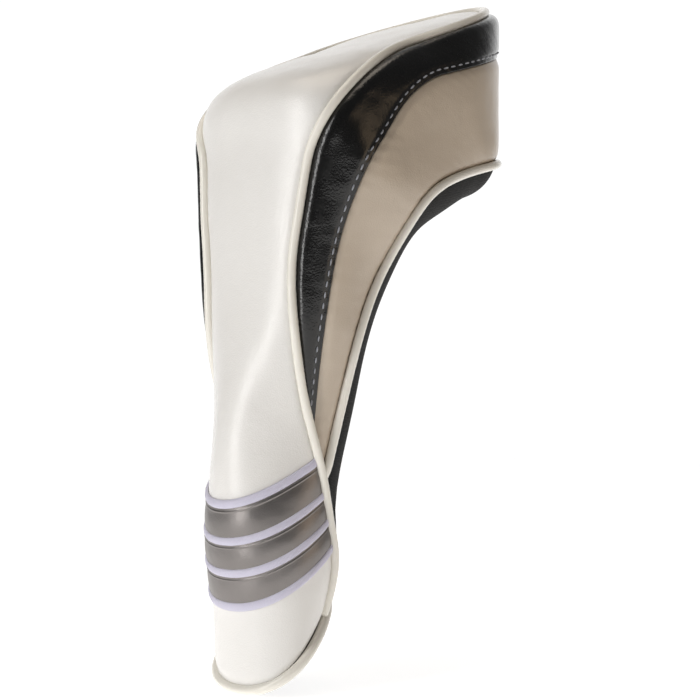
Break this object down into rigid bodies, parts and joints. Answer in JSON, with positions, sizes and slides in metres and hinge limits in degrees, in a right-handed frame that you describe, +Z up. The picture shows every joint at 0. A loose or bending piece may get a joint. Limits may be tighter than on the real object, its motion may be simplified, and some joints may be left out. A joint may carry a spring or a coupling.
{
  "type": "driver head cover",
  "caption": "Padded sock for a golf driver's head, with a long neck that slips over the shaft, a stretch gusset at the back and piped leather panels.",
  "frame": {"origin": "on the axis of the round sleeve in the neck, at the sleeve's lower end", "axes": "+Z up the neck towards the head pouch, +X from the neck towards the pouch's toe, the XZ plane is the plane of symmetry, right is -Y"},
  "size_m": [0.1714, 0.118, 0.3437],
  "materials": {
    "pearl_leather": "pearl white polyurethane leather, fine grain, soft gloss",
    "black_patent": "black patent leather with a fine grain, high gloss",
    "beige_pearl_leather": "pearl beige polyurethane leather, fine grain, semi gloss",
    "black_stretch": "ribbed matt stretch fabric",
    "piping_leather": "glossy cream white polyurethane piping",
    "cotton_cord": "twisted cotton",
    "silver_leather": "satin metallic grey",
    "white_thread": "white satin stitch",
    "foam": "open-cell foam",
    "elastic_tape": "woven elastic",
    "plush_lining": "short black plush",
    "knit_lining": "fine black knit",
    "black_binding": "black bias binding",
    "grey_thread": "twisted grey thread"
  },
  "bodies": {
    "root": {"front_panel": "pearl_leather", "patent_band_right": "black_patent", "patent_band_left": "black_patent", "side_panel_right": "beige_pearl_leather", "side_panel_left": "beige_pearl_leather", "back_gusset": "black_stretch", "upper_piping": "piping_leather", "lower_piping": "piping_leather", "hem_piping": "piping_leather", "upper_piping_cord": "cotton_cord", "lower_piping_cord": "cotton_cord", "hem_piping_cord": "cotton_cord", "silver_band_top": "silver_leather", "silver_band_middle": "silver_leather", "silver_band_bottom": "silver_leather", "band_edging_1": "white_thread", "band_edging_2": "white_thread", "band_edging_3": "white_thread", "band_edging_4": "white_thread", "front_padding": "foam", "side_padding_right": "foam", "side_padding_left": "foam", "gusset_backing_neck": "foam", "gusset_backing_head": "foam", "neck_elastic": "elastic_tape", "head_lining_right": "plush_lining", "head_lining_left": "plush_lining", "neck_lining": "knit_lining", "hem_binding": "black_binding", "topstitch_right": "grey_thread", "topstitch_left": "grey_thread"}
  },
  "joints": []
}
